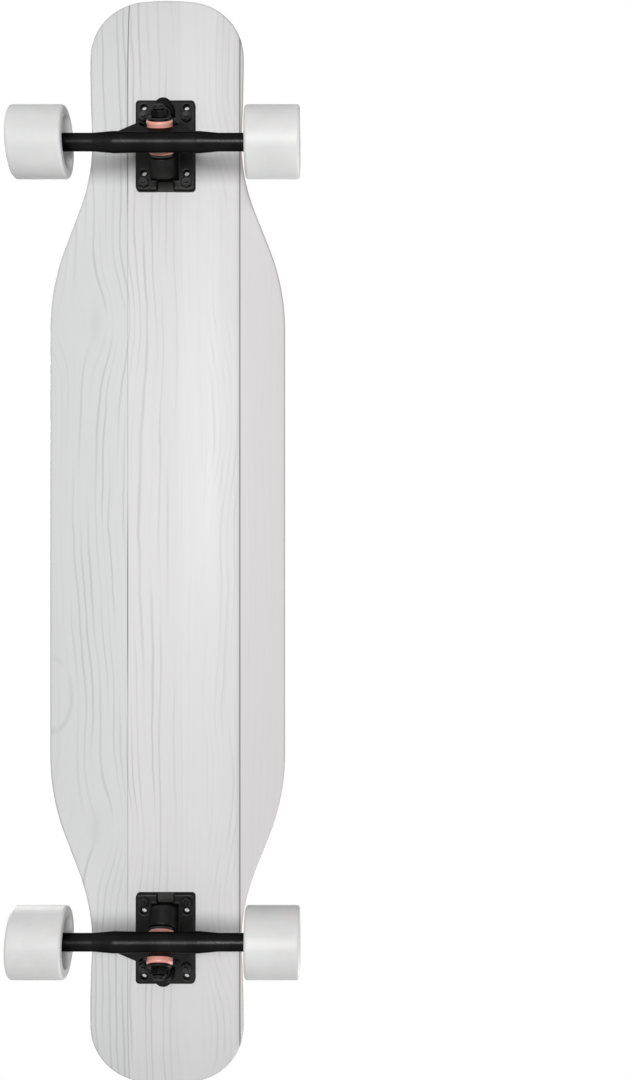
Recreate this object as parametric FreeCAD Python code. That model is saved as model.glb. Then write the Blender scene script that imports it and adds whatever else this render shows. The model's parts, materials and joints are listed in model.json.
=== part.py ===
import FreeCAD, Part
import math
import os

# Longboard skateboard standing on its wheels. Lengths are in millimetres, angles in degrees.
# +X points to the nose, +Y to the left and +Z up. The origin is on the ground, under the deck's middle.

# Deck outline, seen from above
deck_length = 1067.0
deck_width = 231.0
nose_width = 150.0
nose_corner_radius = 58.0
tip_radius = 220.0
waist_width = 146.0
waist_from_tip = 142.0
waist_radius = 185.0
shoulder_radius = 210.0
taper_angle = 22.0

# Deck thickness and its bends
deck_thickness = 10.5
deck_edge_radius = 3.4
concave_flat = 70.0
concave_rise = 9.5
kick_length = 92.0
kick_rise = 12.0

# Grip tape
grip_thickness = 0.9
grip_margin = 0.4
glue_line = 0.05

# Truck placing
bolt_from_tip = 154.0
bolt_spacing_x = 63.5
bolt_spacing_y = 41.3
spare_hole_step = 9.5
axle_inset = 14.3
truck_height = 71.0
kingpin_lean = 58.0
steer_axis_angle = 28.0
ring_ahead = 13.5
ring_above = 31.5

# Riser pad and baseplate
riser_thickness = 2.0
plate_length = 87.0
plate_width = 57.5
plate_thickness = 6.0
plate_corner_radius = 3.5
plate_edge_radius = 1.0
seat_boss_radius = 12.6
seat_boss_length = 18.5
seat_boss_foot = 7.0
head_slot_width = 15.5
pivot_housing_wall = 2.2

# Mounting bolts and nuts
bolt_radius = 2.4
bolt_hole_radius = 2.75
bolt_head_radius = 4.6
bolt_head_height = 2.8
bolt_head_clearance = 0.2
bolt_tail = 3.0
bolt_drive_width = 1.1
bolt_drive_length = 5.0
bolt_drive_depth = 1.8
mounting_nut_flats = 9.5
mounting_nut_height = 5.6

# Kingpin, bushings and cup washers
kingpin_radius = 4.75
kingpin_head_flats = 14.3
kingpin_head_height = 6.0
kingpin_seat_depth = 10.5
kingpin_tail = 1.5
kingpin_nut_flats = 14.3
kingpin_nut_height = 9.0
kingpin_clearance = 0.15
head_pocket_clearance = 0.2
bushing_radius = 12.4
bushing_boardside_height = 9.0
bushing_roadside_height = 14.5
bushing_chamfer = 2.2
washer_plate = 2.0
washer_lip = 0.7
washer_rim = 0.5
washer_chamfer = 0.9
washer_clearance = 0.15

# Hanger
hanger_width = 187.0
hanger_end_radius = 8.2
hanger_shoulder_radius = 9.8
hanger_middle_radius = 9.2
hanger_neck = 57.0
hanger_shoulder = 39.0
hanger_waist = 14.0
hanger_end_chamfer = 1.2
ring_radius = 17.5
ring_height = 13.0
ring_hole_radius = 8.2
ring_seat_depth = 2.0
bowl_slope = 0.62
yoke_reach = 39.0
yoke_waist = 25.5
yoke_waist_along = -8.0
yoke_tip = 9.5
yoke_tip_radius = 5.5
yoke_length = 22.0
arm_radius = 7.6
pivot_mouth = 36.3
pivot_radius = 4.6
pivot_depth = 8.5
pivot_cup_wall = 2.0
pivot_cup_floor = 1.5
pivot_clearance = 0.3
cup_clearance = 0.05
mouth_clearance = 1.5

# Axle and what is clamped on it
axle_radius = 3.97
axle_tail = 1.5
axle_chamfer = 0.8
speed_washer_thickness = 0.8
speed_washer_radius = 5.6
axle_nut_flats = 12.7
axle_nut_height = 7.5
bearing_gap = 10.0
spacer_radius = 5.2

# Ball bearings
bearing_bore_radius = 4.0
bearing_radius = 11.0
bearing_width = 7.0
inner_ring_radius = 6.15
outer_ring_inside_radius = 9.05
bearing_chamfer = 0.3
ball_radius = 1.984
ball_count = 7
race_clearance = 0.1
cage_thickness = 1.3
cage_back = 0.6
cage_front = 0.7
shield_thickness = 0.4
shield_clearance = 0.25
shield_inset = 0.15

# Wheels
wheel_radius = 32.5
wheel_width = 50.0
wheel_lip_radius = 3.0
face_land = 5.5
core_radius = 17.0
core_rib_radius = 19.5
core_rib_width = 8.0
core_overhang = 1.2
core_seat_shoulder = 1.6

# Worked-out places
axle_height = wheel_radius
mount_height = axle_height + truck_height
plate_top = mount_height - riser_thickness
bolt_x = deck_length / 2 - bolt_from_tip
plate_x = bolt_x + spare_hole_step / 2
axle_x = bolt_x - axle_inset
lean = math.radians(kingpin_lean)
steer = math.radians(steer_axis_angle)
kingpin_axis = FreeCAD.Vector(math.sin(lean), 0, -math.cos(lean))
seat_axis = FreeCAD.Vector(math.cos(lean), 0, math.sin(lean))
steer_axis = FreeCAD.Vector(math.cos(steer), 0, math.sin(steer))
axle_point = FreeCAD.Vector(axle_x, 0, axle_height)
ring_centre = axle_point + FreeCAD.Vector(ring_ahead, 0, ring_above)
across = FreeCAD.Vector(0, 1, 0)
up = FreeCAD.Vector(0, 0, 1)
deck_top = deck_thickness + glue_line + grip_thickness

# Stations along the kingpin, measured from the middle of the hanger's ring towards the road
ring_seat = ring_height / 2 - ring_seat_depth
boardside_top = -ring_seat - bushing_boardside_height
plate_seat = boardside_top - washer_plate
head_seat = plate_seat - kingpin_seat_depth
roadside_end = ring_seat + bushing_roadside_height
nut_seat = roadside_end + washer_plate
nut_end = nut_seat + kingpin_nut_height
kingpin_end = nut_end + kingpin_tail
seat_boss_end = plate_seat - seat_boss_length

# Stations along the steering axis, measured from the middle of the ring towards the nose
pivot_tip = pivot_mouth + pivot_depth
cup_radius = pivot_radius + pivot_clearance + pivot_cup_wall
cup_end = pivot_tip + pivot_clearance + pivot_cup_floor
housing_radius = cup_radius + pivot_housing_wall
housing_end = cup_end - math.sqrt((housing_radius - 1) ** 2 - cup_radius ** 2)

# Stations along the axle, measured from the truck's middle plane
hanger_end = hanger_width / 2
bearing_start = hanger_end + speed_washer_thickness
wheel_y = bearing_start + bearing_width + bearing_gap / 2
bearing_y = bearing_gap / 2 + bearing_width / 2
stack_end = wheel_y + bearing_gap / 2 + bearing_width
axle_nut_start = stack_end + speed_washer_thickness
axle_end = axle_nut_start + axle_nut_height + axle_tail
ball_pitch_radius = (inner_ring_radius + outer_ring_inside_radius) / 2


def vec(x, y, z):
    return FreeCAD.Vector(x, y, z)


def station(along, down, sideways=0.0):
    """A point of the front truck from its distances along the ring's slope and the kingpin."""
    return ring_centre + seat_axis * along + kingpin_axis * down + across * sideways


def polygon(points):
    return Part.Face(Part.makePolygon(points + [points[0]]))


def put(shape, base, axis):
    """Stands a shape that was made about +Z on another axis."""
    shape.Placement = FreeCAD.Placement(base, FreeCAD.Rotation(up, axis))
    return shape


def lathe(profile, base, axis):
    """Turns a profile of (radius, distance along the axis) points."""
    face = polygon([vec(radius, 0, height) for radius, height in profile])
    return put(face.revolve(vec(0, 0, 0), up, 360), base, axis)


def rod(radius, start, end, base, axis, chamfer=0.0):
    profile = [(0, start), (radius - chamfer, start), (radius, start + chamfer)]
    profile += [(radius, end - chamfer), (radius - chamfer, end), (0, end)]
    if chamfer == 0:
        profile = [(0, start), (radius, start), (radius, end), (0, end)]
    return lathe(profile, base, axis)


def tube(inside, outside, start, end, base, axis):
    return lathe([(inside, start), (outside, start), (outside, end), (inside, end)], base, axis)


def hexagon(flats, start, end, base, axis):
    """A hexagon bar with both ends' corners turned off."""
    corner = flats / math.sqrt(3)
    angles = [math.radians(60 * side) for side in range(6)]
    outline = polygon([vec(corner * math.cos(a), corner * math.sin(a), start) for a in angles])
    bar = outline.extrude(vec(0, 0, end - start))
    bevel = (corner - flats / 2) * math.tan(math.radians(30))
    turned = [(0, start), (flats / 2, start), (corner, start + bevel)]
    turned += [(corner, end - bevel), (flats / 2, end), (0, end)]
    trimmed = bar.common(lathe(turned, vec(0, 0, 0), up))
    return put(trimmed, base, axis)


def nut(flats, bore, start, end, base, axis):
    """A lock nut: a hexagon with a round collar at its outer end."""
    collar = start + (end - start) * 0.72
    hexed = hexagon(flats, start, collar, vec(0, 0, 0), up)
    ring = rod(flats / 2 * 0.9, collar, end, vec(0, 0, 0), up, (end - collar) * 0.4)
    solid = hexed.fuse(ring).removeSplitter()
    return put(solid.cut(rod(bore, start - 1, end + 1, vec(0, 0, 0), up)), base, axis)


def joined(*shapes):
    return shapes[0].fuse(list(shapes[1:])).removeSplitter()


# Deck and grip tape

def arc(start, middle, end):
    return Part.Arc(vec(*start, 0), vec(*middle, 0), vec(*end, 0)).toShape()


def outline(inset):
    """The deck's plan, moved inwards by the inset: tangent arcs round each end and straight sides."""
    half_length = deck_length / 2 - inset
    half_nose = nose_width / 2 - inset
    half_waist = waist_width / 2 - inset
    half_width = deck_width / 2 - inset
    corner = nose_corner_radius - inset
    tip = tip_radius - inset
    waist = waist_radius + inset
    shoulder = shoulder_radius - inset
    taper = math.radians(taper_angle)
    tip_centre = half_length - tip
    corner_x = tip_centre + math.sqrt((tip - corner) ** 2 - (half_nose - corner) ** 2)
    tip_turn = math.atan2(half_nose - corner, corner_x - tip_centre)
    waist_x = deck_length / 2 - waist_from_tip
    flare = 2 * math.atan((half_nose - half_waist) / (corner_x - waist_x))
    flare_radius = (corner_x - waist_x) / math.sin(flare) - waist

    def on_tip(turn):
        return (tip_centre + tip * math.cos(turn), tip * math.sin(turn))

    def on_corner(turn):
        return (corner_x + corner * math.cos(turn), half_nose - corner + corner * math.sin(turn))

    def on_flare(turn):
        return (corner_x - flare_radius * math.sin(turn), half_nose - flare_radius * (1 - math.cos(turn)))

    def on_waist(turn):
        return (waist_x + waist * math.sin(turn), half_waist + waist * (1 - math.cos(turn)))

    taper_low = on_waist(-taper)
    shoulder_drop = shoulder * (1 - math.cos(taper))
    taper_run = (half_width - shoulder_drop - taper_low[1]) / math.tan(taper)
    taper_high = (taper_low[0] - taper_run, half_width - shoulder_drop)
    shoulder_x = taper_high[0] - shoulder * math.sin(taper)

    def on_shoulder(turn):
        return (shoulder_x + shoulder * math.sin(turn), half_width - shoulder * (1 - math.cos(turn)))

    corner_turn = (tip_turn + math.pi / 2) / 2
    side = [
        arc(on_tip(tip_turn), on_corner(corner_turn), (corner_x, half_nose)),
        arc((corner_x, half_nose), on_flare(flare / 2), on_flare(flare)),
        arc(on_flare(flare), on_waist((flare - taper) / 2), taper_low),
        Part.makeLine(vec(*taper_low, 0), vec(*taper_high, 0)),
        arc(taper_high, on_shoulder(taper / 2), (shoulder_x, half_width)),
    ]
    end = side + [edge.mirror(vec(0, 0, 0), across) for edge in side]
    end.append(arc(on_tip(-tip_turn), on_tip(0), on_tip(tip_turn)))
    edges = end + [edge.mirror(vec(0, 0, 0), vec(1, 0, 0)) for edge in end]
    for half in (half_width, -half_width):
        edges.append(Part.makeLine(vec(-shoulder_x, half, 0), vec(shoulder_x, half, 0)))
    return Part.Face(Part.Wire(Part.__sortEdges__(edges)))


def bent_sheet(low, high):
    """A sheet that follows the deck's bends, between two heights above its underside."""
    margin = deck_thickness
    flat = concave_flat / 2
    run = deck_width / 2 - flat
    concave_radius = (run ** 2 + concave_rise ** 2) / (2 * concave_rise)
    kick_radius = (kick_length ** 2 + kick_rise ** 2) / (2 * kick_rise)
    kick_start = deck_length / 2 - kick_length
    turn = math.asin((run + margin) / (concave_radius - high))

    def on_side(side, angle, height):
        radius = concave_radius - height
        y = side * (flat + radius * math.sin(angle))
        return vec(kick_start, y, mount_height + concave_radius - radius * math.cos(angle))

    def curve(side, height):
        points = [on_side(side, angle, height) for angle in (0, turn / 2, turn)]
        return Part.Arc(*points).toShape()

    edges = []
    for height in (low, high):
        edges += [curve(1, height), curve(-1, height)]
        edges.append(Part.makeLine(on_side(-1, 0, height), on_side(1, 0, height)))
    for side in (1, -1):
        edges.append(Part.makeLine(on_side(side, turn, low), on_side(side, turn, high)))
    section = Part.Face(Part.Wire(Part.__sortEdges__(edges)))
    middle = section.extrude(vec(-2 * kick_start, 0, 0))
    sweep = math.degrees(math.asin((kick_length + margin) / (kick_radius - high)))
    nose = section.revolve(vec(kick_start, 0, mount_height + kick_radius), -across, sweep)
    tail = nose.mirror(vec(0, 0, 0), vec(1, 0, 0))
    return middle.fuse([nose, tail]).removeSplitter()


def trimmed_sheet(low, high, inset):
    """The bent sheet cut to the deck's plan."""
    reach = concave_rise + kick_rise + deck_top + deck_width
    prism = outline(inset).extrude(up * reach)
    prism.translate(up * (mount_height - deck_top))
    return bent_sheet(low, high).common(prism)


def rim_edges(sheet):
    """The edges that run round a trimmed sheet, where its upright sides meet its faces."""
    boundary = outline(0).OuterWire
    found = []
    for edge in sheet.Edges:
        middle = edge.valueAt((edge.FirstParameter + edge.LastParameter) / 2)
        upright = abs(edge.tangentAt(edge.FirstParameter).z) > 0.9
        flat_middle = Part.Vertex(vec(middle.x, middle.y, 0))
        if not upright and boundary.distToShape(flat_middle)[0] < 0.01:
            found.append(edge)
    return found


def bolt_places():
    """The four bolts of each truck, as (x, y)."""
    places = {}
    for name, end in (("front", 1), ("rear", -1)):
        places[name] = [(end * bolt_x + side * bolt_spacing_x / 2, half * bolt_spacing_y / 2)
                        for side in (1, -1) for half in (1, -1)]
    return places


def countersink(clearance):
    """A countersunk head's cone about +Z, with its top at zero."""
    head = bolt_head_radius + clearance
    return [(0, -bolt_head_height), (bolt_radius + clearance, -bolt_head_height), (head, 0)]


def deck():
    sheet = trimmed_sheet(0, deck_thickness, 0)
    board = sheet.makeFillet(deck_edge_radius, rim_edges(sheet))
    top = mount_height + deck_thickness
    holes = []
    for places in bolt_places().values():
        for x, y in places:
            holes.append(rod(bolt_hole_radius, -deck_thickness - 1, deck_thickness, vec(x, y, top), up))
            sink = countersink(bolt_head_clearance) + [(bolt_head_radius + bolt_head_clearance, 2), (0, 2)]
            holes.append(lathe(sink, vec(x, y, top + glue_line), up))
    return board.cut(holes)


def grip_tape():
    inset = deck_edge_radius + grip_margin
    sheet = trimmed_sheet(deck_thickness + glue_line, deck_top, inset)
    holes = []
    for places in bolt_places().values():
        for x, y in places:
            radius = bolt_head_radius + bolt_head_clearance
            place = vec(x, y, mount_height + deck_top)
            holes.append(rod(radius, -deck_thickness, deck_thickness, place, up))
    return sheet.cut(holes)


# Trucks, all made for the front one

def plate_outline(low, thickness):
    """A flat plate with the baseplate's outline and rounded corners."""
    corner = vec(plate_x - plate_length / 2, -plate_width / 2, low)
    plate = Part.makeBox(plate_length, plate_width, thickness, corner)
    upright = [edge for edge in plate.Edges if abs(edge.tangentAt(edge.FirstParameter).z) > 0.9]
    return plate.makeFillet(plate_corner_radius, upright)


def plate_holes():
    """Eight holes, so that the truck can be bolted on in two places."""
    holes = []
    for step in (bolt_spacing_x / 2 - spare_hole_step / 2, bolt_spacing_x / 2 + spare_hole_step / 2):
        for end in (1, -1):
            for half in (1, -1):
                place = vec(plate_x + end * step, half * bolt_spacing_y / 2, mount_height)
                holes.append(rod(bolt_hole_radius, -truck_height / 2, 1, place, up))
    return holes


def riser_pad():
    return plate_outline(plate_top, riser_thickness).cut(plate_holes())


def rounded_plate():
    """The baseplate's flat plate with a softened lower rim."""
    low = plate_top - plate_thickness
    plate = plate_outline(low, plate_thickness)
    rim = [edge for edge in plate.Edges if abs(edge.CenterOfMass.z - low) < 0.001]
    return plate.makeFillet(plate_edge_radius, rim)


def across_prism(edges, width):
    """An upright outline in the truck's middle plane, made into a block across the truck."""
    face = Part.Face(Part.Wire(Part.__sortEdges__(edges)))
    face.translate(across * (-width / 2))
    return face.extrude(across * width)


def run_of_lines(points):
    return [Part.makeLine(a, b) for a, b in zip(points, points[1:])]


def seat_boss():
    """The slanted round boss that holds the kingpin and gives the bushings their seat."""
    root = plate_top - plate_thickness / 2
    boss = rod(seat_boss_radius, seat_boss_end, plate_seat, ring_centre, kingpin_axis)
    seat_top = station(seat_boss_radius, plate_seat)
    back = station(0, seat_boss_end)
    points = [station(0, plate_seat), seat_top, vec(seat_top.x + seat_boss_foot, 0, root)]
    points += [vec(back.x, 0, root), back]
    return boss.fuse(across_prism(run_of_lines(points + [points[0]]), 2 * seat_boss_radius))


def pivot_housing():
    """The round-ended boss at the plate's outer end that holds the pivot cup."""
    root = plate_top - plate_thickness / 2
    barrel = rod(housing_radius, pivot_mouth, housing_end, ring_centre, steer_axis)
    end = ring_centre + steer_axis * housing_end
    ball = Part.makeSphere(housing_radius)
    ball.translate(end)
    post = Part.makeCylinder(housing_radius, root - end.z, end)
    start = ring_centre + steer_axis * pivot_mouth
    points = [start, end, vec(end.x, 0, root), vec(start.x, 0, root)]
    rib = across_prism(run_of_lines(points + [points[0]]), 2 * housing_radius)
    return joined(barrel, ball, post, rib)


def pivot_room():
    """The room below the plate that the hanger's arm turns in."""
    low = ring_centre - vec(0, housing_radius, housing_radius)
    return Part.makeBox(plate_length, 2 * housing_radius, plate_top - plate_thickness - low.z, low)


def head_slot():
    """The slot between the boss and the plate's inner end, through which the kingpin's head goes in."""
    inner_end = plate_x - plate_length / 2
    length = station(0, seat_boss_end).x - inner_end
    low = vec(inner_end - 1, -head_slot_width / 2, plate_top - plate_thickness - 1)
    return Part.makeBox(length + 1, head_slot_width, plate_thickness + 2, low)


def baseplate():
    solid = joined(rounded_plate(), seat_boss(), pivot_housing())
    head = kingpin_head_flats / math.sqrt(3) + head_pocket_clearance
    cuts = plate_holes() + [
        head_slot(),
        rod(kingpin_radius + cup_clearance, head_seat - 1, 0, ring_centre, kingpin_axis),
        rod(head, 2 * seat_boss_end, head_seat, ring_centre, kingpin_axis),
        rod(2 * housing_radius, 0, pivot_mouth, ring_centre, steer_axis).common(pivot_room()),
        rod(cup_radius + cup_clearance, pivot_mouth - 1, cup_end + cup_clearance, ring_centre, steer_axis),
    ]
    return solid.cut(cuts)


def pivot_cup():
    inside = pivot_radius + pivot_clearance
    floor = cup_end - pivot_cup_floor
    profile = [(0, cup_end), (cup_radius, cup_end), (cup_radius, pivot_mouth), (inside, pivot_mouth)]
    return lathe(profile + [(inside, floor), (0, floor)], ring_centre, steer_axis)


def kingpin():
    shank = rod(kingpin_radius, head_seat - 1, kingpin_end, ring_centre, kingpin_axis)
    head = hexagon(kingpin_head_flats, head_seat - kingpin_head_height, head_seat, ring_centre, kingpin_axis)
    return joined(shank, head)


def kingpin_nut():
    bore = kingpin_radius
    return nut(kingpin_nut_flats, bore, nut_seat, nut_end, ring_centre, kingpin_axis)


def bushing(start, end):
    bore = kingpin_radius + kingpin_clearance
    face = bushing_radius - bushing_chamfer
    profile = [(bore, start), (face, start), (bushing_radius, start + bushing_chamfer)]
    profile += [(bushing_radius, end - bushing_chamfer), (face, end), (bore, end)]
    return lathe(profile, ring_centre, kingpin_axis)


def cup_washer(floor, facing):
    """A dished washer that holds a bushing's bevelled end; facing is the way its lip points."""
    bore = kingpin_radius + kingpin_clearance
    inside = bushing_radius - bushing_chamfer + washer_clearance
    outside = inside + washer_lip + washer_rim
    back = floor - facing * washer_plate
    lip = floor + facing * washer_lip
    profile = [(bore, back), (outside - washer_chamfer, back), (outside, back + facing * washer_chamfer)]
    profile += [(outside, lip), (inside + washer_lip, lip), (inside, floor), (bore, floor)]
    return lathe(profile, ring_centre, kingpin_axis)


def cup_washers():
    return Part.makeCompound([cup_washer(boardside_top, 1), cup_washer(roadside_end, -1)])


def mounting_bolts():
    top = mount_height + deck_top
    low = plate_top - plate_thickness - mounting_nut_height - bolt_tail
    bolts = []
    for x, y in bolt_places()["front"]:
        head = lathe(countersink(0) + [(0, 0)], vec(x, y, mount_height + deck_thickness + glue_line), up)
        shank = rod(bolt_radius, low - top, -bolt_head_height, vec(x, y, top), up)
        bolt = joined(shank, head)
        head_top = mount_height + deck_thickness + glue_line
        for turn in (0, 90):
            slot = Part.makeBox(bolt_drive_length, bolt_drive_width, bolt_drive_depth + 1)
            slot.translate(vec(-bolt_drive_length / 2, -bolt_drive_width / 2, -bolt_drive_depth))
            slot.rotate(vec(0, 0, 0), up, turn)
            slot.translate(vec(x, y, head_top))
            bolt = bolt.cut(slot)
        bolts.append(bolt)
    return Part.makeCompound(bolts)


def mounting_nuts():
    seat = plate_top - plate_thickness
    nuts = []
    for x, y in bolt_places()["front"]:
        nuts.append(nut(mounting_nut_flats, bolt_radius, 0, mounting_nut_height, vec(x, y, seat), -up))
    return Part.makeCompound(nuts)


def hanger_tube():
    """The tube round the axle: slim ends, a shoulder on each side and a slight waist between them."""
    ends = hanger_end_radius
    end = hanger_end
    half = [(hanger_middle_radius, hanger_waist), (hanger_shoulder_radius, hanger_shoulder)]
    half += [(ends, hanger_neck), (ends, end - hanger_end_chamfer)]
    half += [(ends - hanger_end_chamfer, end), (0, end)]
    other_half = [(radius, -along) for radius, along in reversed(half)]
    return lathe(other_half + half, axle_point, across)


def yoke_web():
    """A block across the truck that runs from the tube to the pivot arm and thins on the way."""
    tip = ring_centre + steer_axis * yoke_length
    way = tip - axle_point
    thinning = (hanger_end_radius - yoke_tip_radius) / way.Length
    way.normalize()
    square = across.cross(way) * math.sqrt(1 - thinning ** 2)
    points = []
    for facing in (square, -square):
        normal = way * thinning + facing
        points += [axle_point + normal * hanger_end_radius, tip + normal * yoke_tip_radius]
    outline_points = [points[0], points[1], points[3], points[2], points[0]]
    return across_prism(run_of_lines(outline_points), 2 * yoke_reach)


def hanger_yoke():
    """The web with its plan drawn in from both sides, which leaves a wing on each side of the ring."""
    foot = (axle_point - ring_centre).dot(seat_axis)
    back = foot - hanger_end_radius
    tip = yoke_length * steer_axis.dot(seat_axis)
    deep = -kingpin_end
    edges = []
    for half in (1, -1):
        start = station(foot, deep, half * yoke_reach)
        waist = station(yoke_waist_along, deep, half * yoke_waist)
        edges.append(Part.Arc(start, waist, station(tip, deep, half * yoke_tip)).toShape())
        edges.append(Part.makeLine(station(back, deep, half * yoke_reach), start))
    for along, reach in ((back, yoke_reach), (tip, yoke_tip)):
        edges.append(Part.makeLine(station(along, deep, reach), station(along, deep, -reach)))
    plan = Part.Face(Part.Wire(Part.__sortEdges__(edges))).extrude(kingpin_axis * (2 * kingpin_end))
    return yoke_web().common(plan)


def hanger_pivot():
    """The arm towards the pivot and the round-tipped pin that turns in the pivot cup."""
    round_start = pivot_tip - pivot_radius
    arm_end = pivot_mouth - mouth_clearance
    root = ring_radius / 2
    profile = [(0, root), (arm_radius, root), (arm_radius, yoke_length), (pivot_radius, arm_end)]
    arm = lathe(profile + [(pivot_radius, round_start), (0, round_start)], ring_centre, steer_axis)
    tip = Part.makeSphere(pivot_radius)
    tip.translate(ring_centre + steer_axis * round_start)
    return arm.fuse(tip)


def hanger():
    ring = rod(ring_radius, -ring_height / 2, ring_height / 2, ring_centre, kingpin_axis, hanger_end_chamfer)
    solid = joined(hanger_tube(), hanger_yoke(), ring, hanger_pivot())
    seat = bushing_radius + washer_clearance
    far = kingpin_end
    bowl = seat + (far - ring_seat) * bowl_slope
    cuts = [
        rod(ring_hole_radius, -far, far, ring_centre, kingpin_axis),
        lathe([(0, ring_seat), (seat, ring_seat), (bowl, far), (0, far)], ring_centre, kingpin_axis),
        rod(seat, -far, -ring_seat, ring_centre, kingpin_axis),
        rod(axle_radius, -hanger_width, hanger_width, axle_point, across),
    ]
    return solid.cut(cuts)


def axle():
    return rod(axle_radius, -axle_end, axle_end, axle_point, across, axle_chamfer)


def both_sides(maker):
    """A piece on the left half of the axle and its twin on the right half."""
    return Part.makeCompound([piece for side in (1, -1) for piece in maker(across * side)])


def axle_nuts():
    return both_sides(lambda out: [
        nut(axle_nut_flats, axle_radius, axle_nut_start, axle_nut_start + axle_nut_height, axle_point, out)])


def speed_washer(start, out):
    end = start + speed_washer_thickness
    return tube(bearing_bore_radius, speed_washer_radius, start, end, axle_point, out)


def speed_washers():
    return both_sides(lambda out: [speed_washer(start, out) for start in (hanger_end, stack_end)])


def bearing_spacers():
    half = bearing_gap / 2
    return both_sides(lambda out: [
        tube(bearing_bore_radius, spacer_radius, wheel_y - half, wheel_y + half, axle_point, out)])


# Bearings and wheels, all made for the front left wheel

wheel_centre = axle_point + across * wheel_y
race_radius = ball_radius + race_clearance


def chamfered_ring(inside, outside, middle):
    """A ring of the bearing's width, centred on a station along the axle, with a groove for the balls."""
    half = bearing_width / 2
    cut = bearing_chamfer
    profile = [(inside, -half + cut), (inside + cut, -half), (outside - cut, -half), (outside, -half + cut)]
    profile += [(outside, half - cut), (outside - cut, half), (inside + cut, half), (inside, half - cut)]
    section = polygon([vec(radius, 0, height) for radius, height in profile])
    groove = Part.makeCircle(race_radius, vec(ball_pitch_radius, 0, 0), across)
    grooved = section.cut(Part.Face(Part.Wire(groove))).Faces[0]
    ring = grooved.revolve(vec(0, 0, 0), up, 360)
    return put(ring, axle_point + across * middle, across)


def bearing_middles():
    return [wheel_y - bearing_y, wheel_y + bearing_y]


def bearing_outer_rings():
    return Part.makeCompound([chamfered_ring(outer_ring_inside_radius, bearing_radius, middle)
                              for middle in bearing_middles()])


def bearing_inner_rings():
    """All four inner rings of one truck, which stay on the axle."""
    left = [chamfered_ring(bearing_bore_radius, inner_ring_radius, middle) for middle in bearing_middles()]
    right = [ring.mirror(vec(0, 0, 0), across) for ring in left]
    return Part.makeCompound(left + right)


def ball_centres(middle):
    turns = [math.radians(360 * (ball + 0.5) / ball_count) for ball in range(ball_count)]
    return [axle_point + vec(ball_pitch_radius * math.cos(turn), middle, ball_pitch_radius * math.sin(turn))
            for turn in turns]


def bearing_balls():
    balls = []
    for middle in bearing_middles():
        for centre in ball_centres(middle):
            ball = Part.makeSphere(ball_radius)
            ball.translate(centre)
            balls.append(ball)
    return Part.makeCompound(balls)


def bearing_cages():
    """Crown cages: a thin ring beside the balls with fingers that reach between them."""
    cages = []
    for middle, facing in zip(bearing_middles(), (1, -1)):
        inside = ball_pitch_radius - cage_thickness / 2
        outside = ball_pitch_radius + cage_thickness / 2
        back = middle + facing * (race_radius + cage_back)
        front = middle - facing * cage_front
        cage = tube(inside, outside, min(back, front), max(back, front), axle_point, across)
        pockets = []
        for centre in ball_centres(middle):
            depth = (race_radius, -2 * race_radius)
            pockets.append(rod(race_radius, min(depth), max(depth), centre, across * facing))
        cages.append(cage.cut(pockets))
    return Part.makeCompound(cages)


def bearing_shields():
    """A thin shield in each side of each bearing, held by the outer ring."""
    half = bearing_width / 2
    shields = []
    for middle in bearing_middles():
        for start in (middle - half + shield_inset, middle + half - shield_inset - shield_thickness):
            shields.append(tube(inner_ring_radius + shield_clearance, outer_ring_inside_radius,
                                start, start + shield_thickness, axle_point, across))
    return Part.makeCompound(shields)


def core():
    half = bearing_y + bearing_width / 2 + core_overhang
    seat = bearing_gap / 2
    rib = core_rib_width / 2
    shoulder = bearing_radius - core_seat_shoulder
    outer = [(core_radius, half), (core_radius, rib), (core_rib_radius, rib)]
    outer += [(core_rib_radius, -rib), (core_radius, -rib), (core_radius, -half)]
    inner = [(bearing_radius, -half), (bearing_radius, -seat), (shoulder, -seat)]
    inner += [(shoulder, seat), (bearing_radius, seat), (bearing_radius, half)]
    return lathe(outer + inner, wheel_centre, across)


def tyre():
    half = wheel_width / 2
    core_half = bearing_y + bearing_width / 2 + core_overhang
    rib = core_rib_width / 2
    face_inside = wheel_radius - wheel_lip_radius - face_land
    outer = [(core_radius, core_half), (face_inside, half), (wheel_radius, half)]
    outer += [(wheel_radius, -half), (face_inside, -half), (core_radius, -core_half)]
    inner = [(core_radius, -rib), (core_rib_radius, -rib), (core_rib_radius, rib), (core_radius, rib)]
    solid = lathe(outer + inner, wheel_centre, across)
    lips = [edge for edge in solid.Edges if abs(edge.BoundBox.ZLength - 2 * wheel_radius) < 0.001
            and edge.BoundBox.YLength < 0.001]
    return solid.makeFillet(wheel_lip_radius, lips)


# Writing the pieces

os.makedirs("parts", exist_ok=True)


def save(name, shape):
    shape.exportStep(f"parts/{name}.step")


def save_both_ends(name, shape):
    """Saves a truck piece for the front, and turned round for the rear."""
    save(f"front_{name}", shape)
    turned = shape.copy()
    turned.rotate(vec(0, 0, 0), up, 180)
    save(f"rear_{name}", turned)


def save_four_wheels(name, shape):
    """Saves a wheel piece for the front left wheel and moved to the other three."""
    for end, along in (("front", 0), ("rear", -2 * axle_x)):
        for side, sideways in (("left", 0), ("right", -2 * wheel_y)):
            moved = shape.copy()
            moved.translate(vec(along, sideways, 0))
            save(f"{end}_{side}_{name}", moved)


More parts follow.
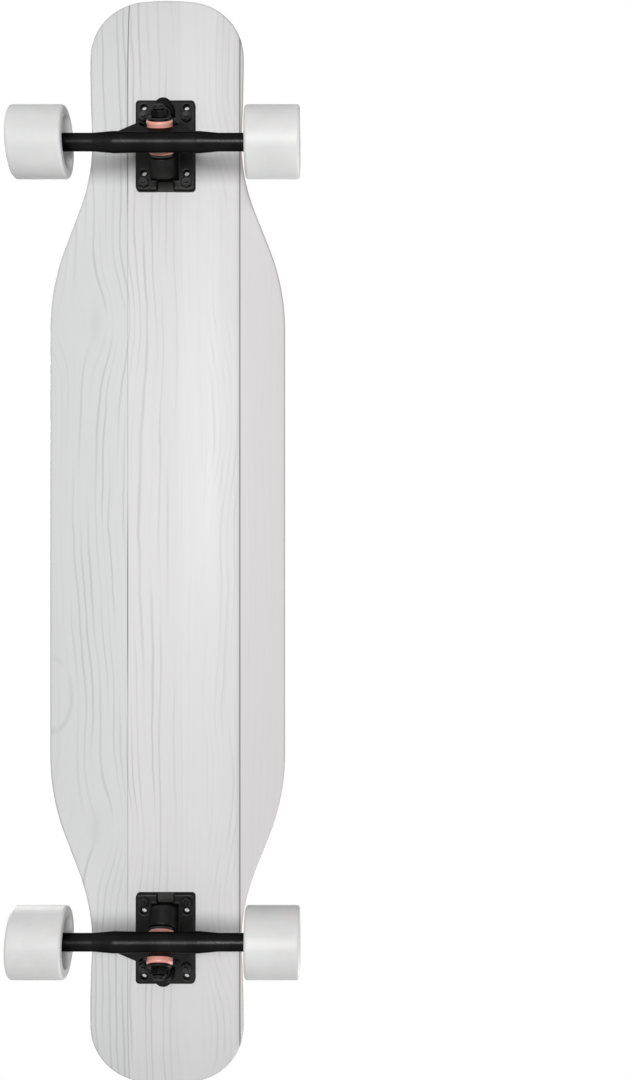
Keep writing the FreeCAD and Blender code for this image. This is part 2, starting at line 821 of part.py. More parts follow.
save("deck", deck())
save("grip_tape", grip_tape())
save_both_ends("riser_pad", riser_pad())
save_both_ends("baseplate", baseplate())
save_both_ends("pivot_cup", pivot_cup())
save_both_ends("kingpin", kingpin())
save_both_ends("kingpin_nut", kingpin_nut())
save_both_ends("bushing_boardside", bushing(boardside_top, -ring_seat))
save_both_ends("bushing_roadside", bushing(ring_seat, roadside_end))
save_both_ends("cup_washers", cup_washers())
save_both_ends("mounting_bolts", mounting_bolts())
save_both_ends("mounting_nuts", mounting_nuts())
save_both_ends("hanger", hanger())
save_both_ends("axle", axle())
save_both_ends("axle_nuts", axle_nuts())
save_both_ends("speed_washers", speed_washers())
save_both_ends("bearing_spacers", bearing_spacers())
save_both_ends("bearing_inner_rings", bearing_inner_rings())
save_four_wheels("bearing_outer_rings", bearing_outer_rings())
save_four_wheels("bearing_balls", bearing_balls())
save_four_wheels("bearing_cages", bearing_cages())
save_four_wheels("bearing_shields", bearing_shields())
save_four_wheels("wheel_core", core())
save_four_wheels("wheel_tyre", tyre())
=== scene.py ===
import json
import math

import bmesh
import bpy
from mathutils import Matrix, Vector


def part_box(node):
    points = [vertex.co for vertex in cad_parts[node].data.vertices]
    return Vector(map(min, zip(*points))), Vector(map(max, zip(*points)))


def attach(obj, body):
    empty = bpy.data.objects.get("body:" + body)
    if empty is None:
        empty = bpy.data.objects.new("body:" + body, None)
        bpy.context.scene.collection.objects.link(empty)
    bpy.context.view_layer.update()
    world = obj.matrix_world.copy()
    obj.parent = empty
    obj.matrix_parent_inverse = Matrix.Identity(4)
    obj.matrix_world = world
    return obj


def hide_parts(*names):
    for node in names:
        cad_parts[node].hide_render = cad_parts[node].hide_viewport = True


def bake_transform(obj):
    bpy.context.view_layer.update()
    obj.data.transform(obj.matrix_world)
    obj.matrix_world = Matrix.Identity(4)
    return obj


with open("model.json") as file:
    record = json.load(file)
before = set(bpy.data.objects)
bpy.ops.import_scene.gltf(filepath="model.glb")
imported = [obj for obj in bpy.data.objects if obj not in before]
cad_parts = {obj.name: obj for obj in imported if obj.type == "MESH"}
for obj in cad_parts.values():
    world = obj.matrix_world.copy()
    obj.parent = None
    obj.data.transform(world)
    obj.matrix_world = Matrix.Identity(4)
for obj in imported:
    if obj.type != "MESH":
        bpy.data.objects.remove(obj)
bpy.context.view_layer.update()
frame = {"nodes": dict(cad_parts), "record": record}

# Lengths are in metres, angles in degrees. +X points to the nose, +Y to the left and +Z up.

ENDS = {"front": 1, "rear": -1}
DECK_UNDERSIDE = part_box("deck")[0][2]
JOINTS = {joint["name"]: joint for joint in frame["record"]["behaviour"]["joints"]}
SLOTS = {piece["node"]: piece["material_slot"] for piece in frame["record"]["subparts"]}

# Camera: under the board, looking straight up, with the nose at the top of the picture
CAMERA_DISTANCE = 1.13
CAMERA_PLACE = (0.002, 0.1445, DECK_UNDERSIDE - CAMERA_DISTANCE)
PICTURE_HEIGHT_PX = 1080
FOCAL_PX = 1160
SENSOR_HEIGHT_MM = 24

# Stage and light. The floor fades out between two distances from the middle.
FLOOR_SIZE = 8.0
FLOOR_FADE = (0.9, 2.8)
FLOOR_COLOUR = (0.84, 0.84, 0.835, 1)
SKY_LIGHT = 0.23
LAMPS = {
    "key_lamp": {"place": (0.2, 0.05, -2.3), "length": 0.9, "width": 0.5, "power": 45.5},
    "top_lamp": {"place": (0.9, -1.4, 2.1), "length": 1.6, "width": 1.6, "power": 54},
    "fill_lamp": {"place": (-1.5, 1.7, 1.0), "length": 1.8, "width": 1.8, "power": 48},
}

# Bushings: stations along the kingpin, from the middle of the hanger's ring towards the road, as
# (at the washer, at the ring)
KINGPIN_LEAN = 58
BUSHING_RADIUS = 0.0124
BUSHING_BORE = 0.0050
BUSHING_BORE_AT_RING = 0.0068
BUSHING_BEVEL = 0.0023
BUSHING_WAIST = 0.0004
BUSHING_WAIST_STEPS = 8
BUSHING_TURNS = 72
BUSHINGS = {"boardside": (-0.0135, -0.0045), "roadside": (0.0190, 0.0045)}

# Castings: how finely their corners are rounded
CASTING_VOXEL = 0.0007
CASTING_PASSES = 6

# Below, a ramp is (start, end) or (start, end, low, high), and a noise has so many patches to
# the metre along x, y and z.

# Deck: its bends as in the solid, and its plies
CONCAVE_FLAT = 0.035
CONCAVE_RADIUS = 0.3458
KICK_START = 0.4415
KICK_RADIUS = 0.3587
PLY = 0.0015
PLY_TONES = ((0.66, 0.52, 0.34, 1), (0.55, 0.41, 0.25, 1))
PLY_FIBRE = {"per_metre": (60.0, 160.0, 900.0), "detail": 3.0}
PLY_FIBRE_SHADE = (0.4, 0.72, 0.0, 0.22)
PLY_JOINT_SHADE = (0.42, 0.5, 0.0, 0.35)

# Deck: how far down its surface faces, where painted shade darkens the print round the rim, and
# where the print ends
PRINT_RIM_PAINTED_SHADE = (-0.8, -0.5, 0.0, 0.35)
PRINT_ENDS = (-0.42, -0.28)
LACQUER_BRUSHING = {"per_metre": (9.0, 160.0, 160.0), "detail": 3.0}
LACQUER_ROUGHNESS = (0.3, 0.7, 0.38, 0.5)

# Print: three planks with a pale band on the middle one, which is partly print and partly
# painted sheen. In the print, left and right are the picture's, so left is -Y.
LEFT_SEAM = -0.0375
RIGHT_SEAM = 0.0716
PLANK_TONES = {
    "left": (0.700, 0.702, 0.704, 1),
    "middle": (0.735, 0.724, 0.728, 1),
    "right": (0.696, 0.682, 0.690, 1),
}
PLANK_JOIN = 0.0002
BAND_TONE_WITH_SHEEN = (0.770, 0.762, 0.765, 1)
BAND_LEFT = (0.010, 0.017)
BAND_RIGHT = (0.046, 0.056, 1.0, 0.0)
BAND_SHEEN_ALONG = (-0.15, 0.05, 0.3, 1.0)

# Print: how dark the seams are, by the distance from them and along the board
LEFT_SEAM_LINE = (0.0002, 0.0009, 1.0, 0.0)
LEFT_SEAM_TO_TAIL = (-0.17, -0.09, 0.25, 0.66)
LEFT_SEAM_FROM_MIDDLE = (-0.03, 0.06, 0.66, 0.2)
LEFT_SEAM_TO_NOSE = (0.30, 0.36, 0.0, 0.4)
RIGHT_SEAM_LINE = (0.0004, 0.0011, 0.6, 0.0)
RIGHT_SEAM_SHADOW_START = (0.0, 0.0003)
RIGHT_SEAM_SHADOW = (0.0005, 0.0065, 0.1, 0.0)

# Print: places that the grain bows round, two knots, and the ring round the third bow
GRAIN_BOWS = (
    {"at": (0.214, -0.090), "reach": (0.045, 0.045), "push": 0.8},
    {"at": (-0.281, -0.090), "reach": (0.045, 0.045), "push": 0.8},
    {"at": (-0.150, -0.114), "reach": (0.085, 0.050), "push": 0.38},
)
KNOTS = (
    {"at": (0.214, -0.069), "reach": (0.017, 0.006)},
    {"at": (-0.281, -0.069), "reach": (0.018, 0.006)},
)
KNOT_SHADE = 0.07
KNOT_CALM_REACH = (0.020, 0.045)
RING = {"at": (-0.150, -0.114), "reach": (0.036, 0.021)}
RING_LINE = (0.0, 0.16, 1.0, 0.0)
RING_BREAKS = (0.40, 0.55, 0.1, 0.6)

# Print: how far noise moves the grain aside, and the grain's lines
GRAIN_BEND = {"per_metre": (2.6, 5.0, 0.0), "detail": 1.0}
GRAIN_BEND_SIZE = 0.026
GRAIN_WOBBLE = {"per_metre": (13.0, 34.0, 0.0), "detail": 2.0}
GRAIN_WOBBLE_SIZE = 0.0070
GRAIN_STAGGER = {"per_metre": (1.5, 30.0, 0.0), "detail": 1.0}
GRAIN_STAGGER_SIZE = 0.014
GRAIN_PITCH = 0.0072
GRAIN_LINE = (0.3, 1.0)
GRAIN_PATCHES = {"per_metre": (5.5, 95.0, 0.0), "detail": 1.0}
GRAIN_PATCH_EDGE = (0.34, 0.66)
GRAIN_LEFT = (-0.105, -0.080, 0.2, 1.0)
GRAIN_RIGHT = (-0.016, 0.026, 1.0, 0.12)
GRAIN_SHADE = 0.17
FIBRE = {"per_metre": (6.0, 420.0, 0.0), "detail": 3.0}
FIBRE_SHADE = (0.5, 0.75, 0.0, 0.025)

# Print: the slanting arches left of the right seam
ARCH_SLANT = {"per_metre": (3.4, 0.0, 0.0), "detail": 1.0}
ARCH_SLANT_SIZE = 0.13
ARCH_PITCH = 0.0062
ARCH_LINE = (0.1, 1.0)
ARCH_LEFT = (0.028, 0.054)
ARCH_RIGHT = (0.066, 0.071, 1.0, 0.0)
ARCH_SHADE = 0.085

# Grip tape
GRIT = {"per_metre": (2600.0, 2600.0, 2600.0), "detail": 2.0}
GRIP_TONES = ((0.010, 0.010, 0.0105, 1), (0.022, 0.022, 0.0225, 1))
GRIP_WEAR = {"per_metre": (14.0, 20.0, 14.0), "detail": 4.0}
GRIP_WEAR_EDGE = (0.4, 0.7)
GRIP_ROUGHNESS = 0.9
SPARKLES_PER_METRE = 1500.0
SPARKLE_EDGE = (0.965, 0.985)
SPARKLE_TONE = (0.30, 0.30, 0.31, 1)
SPARKLE_STRENGTH = 0.5
SPARKLE_SMOOTHING = 0.5

# Tyres
TYRE_TONES = ((0.69, 0.69, 0.688, 1), (0.735, 0.735, 0.732, 1))
TYRE_PATCHES = {"per_metre": (24.0, 24.0, 24.0), "detail": 3.0}
TREAD_RINGS = {"per_metre": (0.0, 1500.0, 0.0), "detail": 2.0}
TREAD_ROUGHNESS = (0.3, 0.7, 0.36, 0.46)

# Moulded, coated and machined surfaces. The grain is per metre, and the bump is its height.
TONE_PATCHES = {"per_metre": (38.0, 38.0, 38.0), "detail": 3.0}
TONE_PATCH_EDGE = (0.35, 0.65)
SATIN_GRAIN_DETAIL = 2.0
SATIN_GRAIN_RANGE = (0.3, 0.7)
ROUGHNESS_SPREAD = 0.06
DULL_BLACK = {"Metallic": 1.0, "Specular_Tint": (0.45, 0.45, 0.45, 1)}
SATIN_PAINTS = {
    "truck_black": {
        "name": "black_powder_coat", "rough": 0.46, "grain": 1400.0, "bump": 0.00006, **DULL_BLACK,
        "dark": (0.014, 0.014, 0.0138, 1), "light": (0.022, 0.022, 0.0216, 1),
    },
    # The hanger's coat: glossier than the baseplate's, with its tones darkened as painted shade.
    "hanger_black_with_painted_shade": {
        "name": "black_satin_coat_with_painted_shade", "rough": 0.30, "grain": 1400.0, "bump": 0.00005, **DULL_BLACK,
        "dark": (0.009, 0.009, 0.0091, 1), "light": (0.013, 0.013, 0.0131, 1),
    },
    "pad_rubber": {
        "name": "pad_rubber", "rough": 0.72, "grain": 900.0, "bump": 0.0001,
        "dark": (0.014, 0.014, 0.0135, 1), "light": (0.022, 0.022, 0.021, 1),
    },
    "dark_steel": {
        "name": "black_steel", "rough": 0.30, "grain": 1800.0, "bump": 0.00003, **DULL_BLACK,
        "dark": (0.024, 0.024, 0.0244, 1), "light": (0.042, 0.042, 0.0424, 1),
    },
    "bright_steel": {
        "name": "bright_steel", "rough": 0.26, "grain": 1600.0, "bump": 0.00002, "Metallic": 1.0,
        "dark": (0.58, 0.58, 0.59, 1), "light": (0.68, 0.68, 0.69, 1),
    },
    "bushing_urethane": {
        "name": "salmon_urethane", "rough": 0.4, "grain": 1200.0, "bump": 0.00005,
        "dark": (0.80, 0.335, 0.28, 1), "light": (0.88, 0.41, 0.345, 1),
        "Subsurface_Weight": 0.15, "Subsurface_Scale": 0.003,
    },
    "shield_black": {
        "name": "bearing_shield", "rough": 0.3, "grain": 1500.0, "bump": 0.00002,
        "dark": (0.014, 0.014, 0.016, 1), "light": (0.022, 0.022, 0.024, 1),
    },
    "black_plastic": {
        "name": "black_plastic", "rough": 0.55, "grain": 1300.0, "bump": 0.00004,
        "dark": (0.016, 0.016, 0.016, 1), "light": (0.024, 0.024, 0.024, 1),
    },
    "core_plastic": {
        "name": "core_plastic", "rough": 0.45, "grain": 1100.0, "bump": 0.00005,
        "dark": (0.66, 0.66, 0.655, 1), "light": (0.72, 0.72, 0.715, 1),
    },
}

BLACK = (0, 0, 0, 1)
WHITE = (1, 1, 1, 1)
# Where a Mix node keeps its colours among its sockets
MIX_FACTOR, MIX_FIRST, MIX_SECOND, MIX_RESULT = 0, 6, 7, 2


class Paint:
    """One material, with short ways to add nodes to it."""

    def __init__(self, name, **sockets):
        self.material = bpy.data.materials.new(name)
        self.material.use_nodes = True
        self.tree = self.material.node_tree
        self.shader = self.tree.nodes["Principled BSDF"]
        for socket, value in sockets.items():
            self.surface(socket.replace("_", " "), value)
        self.place = self.add("ShaderNodeTexCoord").outputs

    def add(self, kind, *values, **settings):
        """A new node with its settings, and with values for its first inputs."""
        node = self.tree.nodes.new(kind)
        for name, value in settings.items():
            setattr(node, name, value)
        for socket, value in zip(node.inputs, values):
            self.feed(socket, value)
        return node

    def feed(self, socket, value):
        if isinstance(value, bpy.types.NodeSocket):
            self.tree.links.new(value, socket)
        else:
            socket.default_value = value

    def surface(self, socket, value):
        self.feed(self.shader.inputs[socket], value)

    def math(self, operation, *values):
        return self.add("ShaderNodeMath", *values, operation=operation).outputs[0]

    def squared(self, value):
        return self.math("POWER", value, 2.0)

    def gap(self, value, other):
        """How far apart two values are."""
        return self.math("ABSOLUTE", self.math("SUBTRACT", value, other))

    def axes(self, vector):
        return self.add("ShaderNodeSeparateXYZ", vector).outputs

    def point(self, x, y, z):
        return self.add("ShaderNodeCombineXYZ", x, y, z).outputs[0]

    def noise(self, per_metre, detail, at=None):
        """Soft noise at a point, which is the surface's own unless another is given."""
        at = self.place["Object"] if at is None else at
        scaled = self.add("ShaderNodeVectorMath", at, per_metre, operation="MULTIPLY")
        node = self.add("ShaderNodeTexNoise", scaled.outputs[0])
        node.inputs["Scale"].default_value = 1.0
        node.inputs["Detail"].default_value = detail
        return node.outputs["Fac"]

    def cells(self, per_metre):
        """A random number for each small cell."""
        node = self.add("ShaderNodeTexVoronoi", self.place["Object"])
        node.inputs["Scale"].default_value = per_metre
        return self.axes(node.outputs["Color"])[0]

    def ramp(self, value, start, end, low=0.0, high=1.0):
        """A smooth step from low at start to high at end."""
        values = (value, start, end, low, high)
        return self.add("ShaderNodeMapRange", *values, interpolation_type="SMOOTHSTEP").outputs[0]

    def between(self, value, rise, fall):
        """A smooth step up and a smooth step down."""
        return self.math("MULTIPLY", self.ramp(value, *rise), self.ramp(value, *fall))

    def lines(self, value, pitch, edge):
        """Soft lines, one to each pitch."""
        wave = self.math("SINE", self.math("MULTIPLY", value, 2 * math.pi / pitch))
        return self.ramp(wave, *edge)

    def blend(self, factor, first, second):
        node = self.add("ShaderNodeMix", data_type="RGBA")
        self.feed(node.inputs[MIX_FACTOR], factor)
        self.feed(node.inputs[MIX_FIRST], first)
        self.feed(node.inputs[MIX_SECOND], second)
        return node.outputs[MIX_RESULT]

    def shaded(self, colour, amount):
        """The colour, darkened by the amount."""
        return self.blend(amount, colour, BLACK)

    def bump(self, height, distance, strength=1.0):
        node = self.add("ShaderNodeBump")
        node.inputs["Strength"].default_value = strength
        node.inputs["Distance"].default_value = distance
        self.feed(node.inputs["Height"], height)
        self.surface("Normal", node.outputs[0])


# Materials

def apart(paint, x, y, at, reach):
    """How far a point lies from a spot, squared, where 1 is the spot's reach."""
    along = paint.math("DIVIDE", paint.math("SUBTRACT", x, at[0]), reach[0])
    across = paint.math("DIVIDE", paint.math("SUBTRACT", y, at[1]), reach[1])
    return paint.math("ADD", paint.squared(along), paint.squared(across))


def near(paint, x, y, at, reach):
    """1 on a spot, and fading round it."""
    return paint.math("EXPONENT", paint.math("MULTIPLY", apart(paint, x, y, at, reach), -1.0))


def plank_tones(paint, x, y):
    """The three planks' own colours, and the pale band, which is partly print and partly painted
    sheen.
    """
    in_middle = paint.ramp(y, LEFT_SEAM - PLANK_JOIN, LEFT_SEAM + PLANK_JOIN)
    in_right = paint.ramp(y, RIGHT_SEAM - PLANK_JOIN, RIGHT_SEAM + PLANK_JOIN)
    colour = paint.blend(in_middle, PLANK_TONES["left"], PLANK_TONES["middle"])
    colour = paint.blend(in_right, colour, PLANK_TONES["right"])
    band = paint.between(y, BAND_LEFT, BAND_RIGHT)
    # Painted sheen: the band is strongest towards the nose and fades towards the tail.
    band = paint.math("MULTIPLY", band, paint.ramp(x, *BAND_SHEEN_ALONG))
    return paint.blend(band, colour, BAND_TONE_WITH_SHEEN)


def grained(paint, x, y, colour):
    """The colour with grey grain that bows round a few places and fades at two knots."""
    grain = y
    for bow in GRAIN_BOWS:
        aside = paint.math("SUBTRACT", y, bow["at"][1])
        held = paint.math("MULTIPLY", aside, near(paint, x, y, bow["at"], bow["reach"]))
        grain = paint.math("SUBTRACT", grain, paint.math("MULTIPLY", held, bow["push"]))
    grain = paint.math("MULTIPLY_ADD", paint.noise(**GRAIN_BEND), GRAIN_BEND_SIZE, grain)
    wobble = paint.noise(**GRAIN_WOBBLE)
    grain = paint.math("MULTIPLY_ADD", wobble, GRAIN_WOBBLE_SIZE, grain)
    on_grain = paint.point(x, grain, 0.0)
    patches = paint.ramp(paint.noise(**GRAIN_PATCHES, at=on_grain), *GRAIN_PATCH_EDGE)

    smudge, calm = 0.0, 0.0
    for knot in KNOTS:
        smudge = paint.math("ADD", smudge, near(paint, x, y, **knot))
        calm = paint.math("ADD", calm, near(paint, x, y, knot["at"], KNOT_CALM_REACH))

    stagger = paint.noise(**GRAIN_STAGGER, at=on_grain)
    staggered = paint.math("MULTIPLY_ADD", stagger, GRAIN_STAGGER_SIZE, grain)
    lines = paint.math("MULTIPLY", paint.lines(staggered, GRAIN_PITCH, GRAIN_LINE), patches)
    lines = paint.math("MULTIPLY", lines, paint.between(y, GRAIN_LEFT, GRAIN_RIGHT))
    lines = paint.math("MULTIPLY", lines, paint.math("SUBTRACT", 1.0, calm))
    from_ring = paint.gap(paint.math("SQRT", apart(paint, x, y, **RING)), 1.0)
    ring = paint.ramp(from_ring, *RING_LINE)
    ring = paint.math("MULTIPLY", ring, paint.ramp(wobble, *RING_BREAKS))
    lines = paint.math("MAXIMUM", lines, ring)

    slanted = paint.math("MULTIPLY_ADD", paint.noise(**ARCH_SLANT), ARCH_SLANT_SIZE, grain)
    arch_zone = paint.math("MULTIPLY", paint.between(y, ARCH_LEFT, ARCH_RIGHT), patches)
    arches = paint.math("MULTIPLY", paint.lines(slanted, ARCH_PITCH, ARCH_LINE), arch_zone)

    colour = paint.shaded(colour, paint.math("MULTIPLY", lines, GRAIN_SHADE))
    colour = paint.shaded(colour, paint.math("MULTIPLY", arches, ARCH_SHADE))
    colour = paint.shaded(colour, paint.math("MULTIPLY", smudge, KNOT_SHADE))
    fibre = paint.noise(**FIBRE, at=on_grain)
    return paint.shaded(colour, paint.ramp(fibre, *FIBRE_SHADE))


def seamed(paint, x, y, colour):
    """The colour with a dark line along each seam, and a soft shadow left of the right one."""
    line = paint.ramp(paint.gap(y, LEFT_SEAM), *LEFT_SEAM_LINE)
    to_tail = paint.ramp(x, *LEFT_SEAM_TO_TAIL)
    depth = paint.math("MINIMUM", to_tail, paint.ramp(x, *LEFT_SEAM_FROM_MIDDLE))
    depth = paint.math("ADD", depth, paint.ramp(x, *LEFT_SEAM_TO_NOSE))
    colour = paint.shaded(colour, paint.math("MULTIPLY", line, depth))
    colour = paint.shaded(colour, paint.ramp(paint.gap(y, RIGHT_SEAM), *RIGHT_SEAM_LINE))
    beside = paint.math("SUBTRACT", RIGHT_SEAM, y)
    return paint.shaded(colour, paint.between(beside, RIGHT_SEAM_SHADOW_START, RIGHT_SEAM_SHADOW))


def maple(paint, x, y, z):
    """Maple plies, stacked from the bent underside upwards."""
    aside = paint.math("SUBTRACT", paint.math("ABSOLUTE", y), CONCAVE_FLAT)
    beyond = paint.math("SUBTRACT", paint.math("ABSOLUTE", x), KICK_START)
    concave = paint.squared(paint.math("MAXIMUM", aside, 0.0))
    kick = paint.squared(paint.math("MAXIMUM", beyond, 0.0))
    concave = paint.math("DIVIDE", concave, 2 * CONCAVE_RADIUS)
    kick = paint.math("DIVIDE", kick, 2 * KICK_RADIUS)
    height = paint.math("SUBTRACT", z, DECK_UNDERSIDE)
    height = paint.math("SUBTRACT", height, paint.math("ADD", concave, kick))
    plies = paint.math("DIVIDE", height, PLY)
    every_other = paint.math("MODULO", paint.math("FLOOR", plies), 2.0)
    colour = paint.blend(every_other, *PLY_TONES)
    colour = paint.shaded(colour, paint.ramp(paint.noise(**PLY_FIBRE), *PLY_FIBRE_SHADE))
    from_middle = paint.gap(paint.math("FRACT", plies), 0.5)
    return paint.shaded(colour, paint.ramp(from_middle, *PLY_JOINT_SHADE))


def deck_paint():
    """Lacquered print on the underside, and bare plies on the edge."""
    paint = Paint("deck_lacquer", Coat_Weight=0.05, Coat_Roughness=0.25, Specular_IOR_Level=0.08)
    x, y, z = paint.axes(paint.place["Object"])
    facing = paint.axes(paint.place["Normal"])[2]
    printed = seamed(paint, x, y, grained(paint, x, y, plank_tones(paint, x, y)))
    # Painted shade: the print is darkened where the surface turns sideways round the rim.
    printed = paint.shaded(printed, paint.ramp(facing, *PRINT_RIM_PAINTED_SHADE))
    on_edge = paint.ramp(facing, *PRINT_ENDS)
    paint.surface("Base Color", paint.blend(on_edge, printed, maple(paint, x, y, z)))
    brushed = paint.noise(**LACQUER_BRUSHING)
    paint.surface("Roughness", paint.ramp(brushed, *LACQUER_ROUGHNESS))
    paint.bump(brushed, distance=0.00004, strength=0.4)
    return paint.material


def grip_paint():
    """Black grit with a few bright grains, a little paler where it is worn."""
    paint = Paint("grip_grit", Specular_IOR_Level=0.35)
    sparkle = paint.ramp(paint.cells(SPARKLES_PER_METRE), *SPARKLE_EDGE)
    worn = paint.ramp(paint.noise(**GRIP_WEAR), *GRIP_WEAR_EDGE)
    bright = paint.math("MULTIPLY", sparkle, SPARKLE_STRENGTH)
    paint.surface("Base Color", paint.blend(bright, paint.blend(worn, *GRIP_TONES), SPARKLE_TONE))
    rough = paint.math("MULTIPLY_ADD", sparkle, -SPARKLE_SMOOTHING, GRIP_ROUGHNESS)
    paint.surface("Roughness", rough)
    paint.bump(paint.noise(**GRIT), distance=0.0005)
    return paint.material


def satin_paint(name, dark, light, rough, grain, bump, **sockets):
    """A moulded, coated or machined surface: two close tones in soft patches and a fine grain."""
    paint = Paint(name, **sockets)
    patches = paint.ramp(paint.noise(**TONE_PATCHES), *TONE_PATCH_EDGE)
    paint.surface("Base Color", paint.blend(patches, dark, light))
    fine = paint.noise((grain, grain, grain), SATIN_GRAIN_DETAIL)
    roughness = (rough - ROUGHNESS_SPREAD, rough + ROUGHNESS_SPREAD)
    paint.surface("Roughness", paint.ramp(fine, *SATIN_GRAIN_RANGE, *roughness))
    paint.bump(fine, distance=bump, strength=0.6)
    return paint.material


def tyre_paint():
    """White urethane, with the fine rings of its turning round the tread."""
    paint = Paint("tyre_urethane", Specular_IOR_Level=0.3, Subsurface_Weight=0.12,
                  Subsurface_Scale=0.004)
    patches = paint.ramp(paint.noise(**TYRE_PATCHES), *TONE_PATCH_EDGE)
    paint.surface("Base Color", paint.blend(patches, *TYRE_TONES))
    rings = paint.noise(**TREAD_RINGS)
    paint.surface("Roughness", paint.ramp(rings, *TREAD_ROUGHNESS))
    paint.bump(rings, distance=0.00003, strength=0.5)
    return paint.material


PAINTS = {slot: satin_paint(**settings) for slot, settings in SATIN_PAINTS.items()}
PAINTS.update(deck_wood=deck_paint(), grip=grip_paint(), wheel_urethane=tyre_paint())


def dress(piece, paint):
    if not piece.material_slots:
        piece.data.materials.append(PAINTS[paint])
    for place in piece.material_slots:
        place.material = PAINTS[paint]


for name, node in frame["nodes"].items():
    dress(node, SLOTS[name])


# Pieces that stand for a solid

def new_piece(name, mesh):
    piece = bpy.data.objects.new(name, mesh)
    bpy.context.collection.objects.link(piece)
    return piece


def stand_in(piece, node, paint):
    """Shows a new piece in a solid's place."""
    dress(piece, paint)
    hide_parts(node)


def casting(node, body, paint):
    """The solid with its corners and inner corners rounded."""
    piece = new_piece(node + "_casting", frame["nodes"][node].data.copy())
    remesh = piece.modifiers.new("remesh", "REMESH")
    remesh.mode = "VOXEL"
    remesh.voxel_size = CASTING_VOXEL
    smooth = piece.modifiers.new("smooth", "SMOOTH")
    smooth.iterations = CASTING_PASSES
    shaped = piece.evaluated_get(bpy.context.evaluated_depsgraph_get())
    piece.data = bpy.data.meshes.new_from_object(shaped)
    piece.modifiers.clear()
    piece.data.shade_smooth()
    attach(piece, body)
    stand_in(piece, node, paint)


def bushing_profile(washer_end, ring_end):
    """Half a bushing's section, as (radius, station).

    Its ends are bevelled, it has a slight waist, and its bore widens towards the ring.
    """
    way = 1 if ring_end > washer_end else -1
    length = abs(ring_end - washer_end)
    end_radius = BUSHING_RADIUS - BUSHING_BEVEL
    profile = [(BUSHING_BORE, 0.0), (end_radius, 0.0)]
    for step in range(BUSHING_WAIST_STEPS + 1):
        share = step / BUSHING_WAIST_STEPS
        radius = BUSHING_RADIUS - BUSHING_WAIST * math.sin(math.pi * share)
        profile.append((radius, BUSHING_BEVEL + (length - 2 * BUSHING_BEVEL) * share))
    profile += [(end_radius, length), (BUSHING_BORE_AT_RING, length)]
    return [(radius, washer_end + way * run) for radius, run in profile]


def lathe_mesh(name, profile, base, axis):
    """A closed ring turned from a profile of (radius, station) round an axis."""
    stand = Vector(axis).to_track_quat("Z", "Y").to_matrix().to_4x4()
    shape = bmesh.new()
    rings = []
    for turn in range(BUSHING_TURNS):
        angle = 2 * math.pi * turn / BUSHING_TURNS
        across, aside = math.cos(angle), math.sin(angle)
        ring = [shape.verts.new((radius * across, radius * aside, run)) for radius, run in profile]
        rings.append(ring)
    for ring, after in zip(rings, rings[1:] + rings[:1]):
        for place in range(len(profile)):
            beside = (place + 1) % len(profile)
            shape.faces.new((ring[place], after[place], after[beside], ring[beside]))
    bmesh.ops.transform(shape, matrix=Matrix.Translation(base) @ stand, verts=shape.verts)
    bmesh.ops.recalc_face_normals(shape, faces=shape.faces)
    mesh = bpy.data.meshes.new(name)
    shape.to_mesh(mesh)
    shape.free()
    mesh.shade_smooth()
    return mesh


def bushing(end, level):
    """A bushing turned round the kingpin's line, from its washer towards the hanger's ring."""
    node = f"{end}_bushing_{level}"
    lean = math.radians(KINGPIN_LEAN)
    axis = Vector((ENDS[end] * math.sin(lean), 0, -math.cos(lean)))
    base = Vector(JOINTS[f"{end}_steer"]["pos_m"])
    washer_end, ring_end = BUSHINGS[level]
    mesh = lathe_mesh(node, bushing_profile(washer_end, ring_end), base, axis)
    piece = new_piece(node + "_urethane", mesh)
    stand_in(piece, node, SLOTS[node])
    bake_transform(piece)


for end in ENDS:
    casting(f"{end}_baseplate", "board", "truck_black")
    casting(f"{end}_hanger", f"{end}_truck", "hanger_black_with_painted_shade")
    for level in BUSHINGS:
        bushing(end, level)


# Stage, light and camera

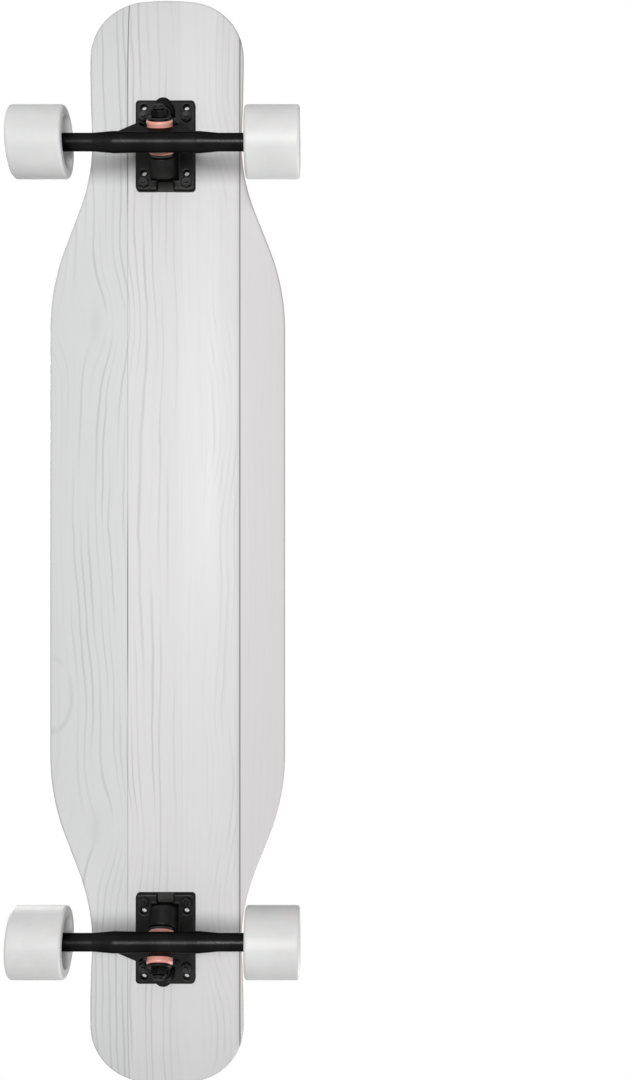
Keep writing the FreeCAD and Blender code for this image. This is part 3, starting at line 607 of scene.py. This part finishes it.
def floor():
    """A pale floor that fades into the white round it.

    It is seen from above only, because the picture is taken from below.
    """
    half = FLOOR_SIZE / 2
    corners = [(-half, -half, 0), (half, -half, 0), (half, half, 0), (-half, half, 0)]
    mesh = bpy.data.meshes.new("floor")
    mesh.from_pydata(corners, [], [(0, 1, 2, 3)])
    plane = new_piece("floor", mesh)
    paint = Paint("floor_paint", Base_Color=FLOOR_COLOUR, Roughness=0.9, Specular_IOR_Level=0.1)
    behind = paint.add("ShaderNodeNewGeometry").outputs["Backfacing"]
    x, y, _ = paint.axes(paint.place["Object"])
    away = paint.math("SQRT", paint.math("ADD", paint.squared(x), paint.squared(y)))
    hidden = paint.math("MAXIMUM", behind, paint.ramp(away, *FLOOR_FADE))
    clear = paint.add("ShaderNodeBsdfTransparent").outputs[0]
    mix = paint.add("ShaderNodeMixShader", hidden, paint.shader.outputs[0], clear)
    paint.feed(paint.tree.nodes["Material Output"].inputs["Surface"], mix.outputs[0])
    plane.data.materials.append(paint.material)
    for ray in ("diffuse", "glossy", "transmission", "shadow", "volume_scatter"):
        setattr(plane, "visible_" + ray, False)


def sky():
    """White behind the object and in its reflections, and a softer even light on it."""
    world = bpy.data.worlds.new("sky")
    world.use_nodes = True
    nodes = world.node_tree.nodes
    links = world.node_tree.links
    rays = nodes.new("ShaderNodeLightPath").outputs
    seen = rays["Is Camera Ray"]
    for ray in ("Is Glossy Ray", "Is Transmission Ray"):
        either = nodes.new("ShaderNodeMath")
        either.operation = "MAXIMUM"
        links.new(seen, either.inputs[0])
        links.new(rays[ray], either.inputs[1])
        seen = either.outputs[0]
    strength = nodes.new("ShaderNodeMapRange")
    links.new(seen, strength.inputs["Value"])
    strength.inputs["To Min"].default_value = SKY_LIGHT
    background = nodes["Background"]
    background.inputs["Color"].default_value = WHITE
    links.new(strength.outputs[0], background.inputs["Strength"])
    bpy.context.scene.world = world


def lamp(name, place, length, width, power):
    """A soft lamp that points at the origin, on the floor under the middle of the board."""
    light = bpy.data.lights.new(name, "AREA")
    light.shape = "RECTANGLE"
    light.size = width
    light.size_y = length
    light.energy = power
    shown = bpy.data.objects.new(name, light)
    shown.location = place
    shown.rotation_euler = (-Vector(place)).to_track_quat("-Z", "Y").to_euler()
    shown.visible_camera = False
    bpy.context.collection.objects.link(shown)


def camera():
    lens = bpy.data.cameras.new("camera")
    lens.sensor_fit = "VERTICAL"
    lens.sensor_height = SENSOR_HEIGHT_MM
    lens.lens = SENSOR_HEIGHT_MM * FOCAL_PX / PICTURE_HEIGHT_PX
    shown = bpy.data.objects.new("camera", lens)
    right, upwards, back = Vector((0, 1, 0)), Vector((1, 0, 0)), Vector((0, 0, -1))
    turn = Matrix((right, upwards, back)).transposed()
    shown.matrix_world = Matrix.Translation(CAMERA_PLACE) @ turn.to_4x4()
    bpy.context.collection.objects.link(shown)
    bpy.context.scene.camera = shown


floor()
sky()
for name, settings in LAMPS.items():
    lamp(name, **settings)
camera()
bpy.context.scene.view_settings.view_transform = "Standard"
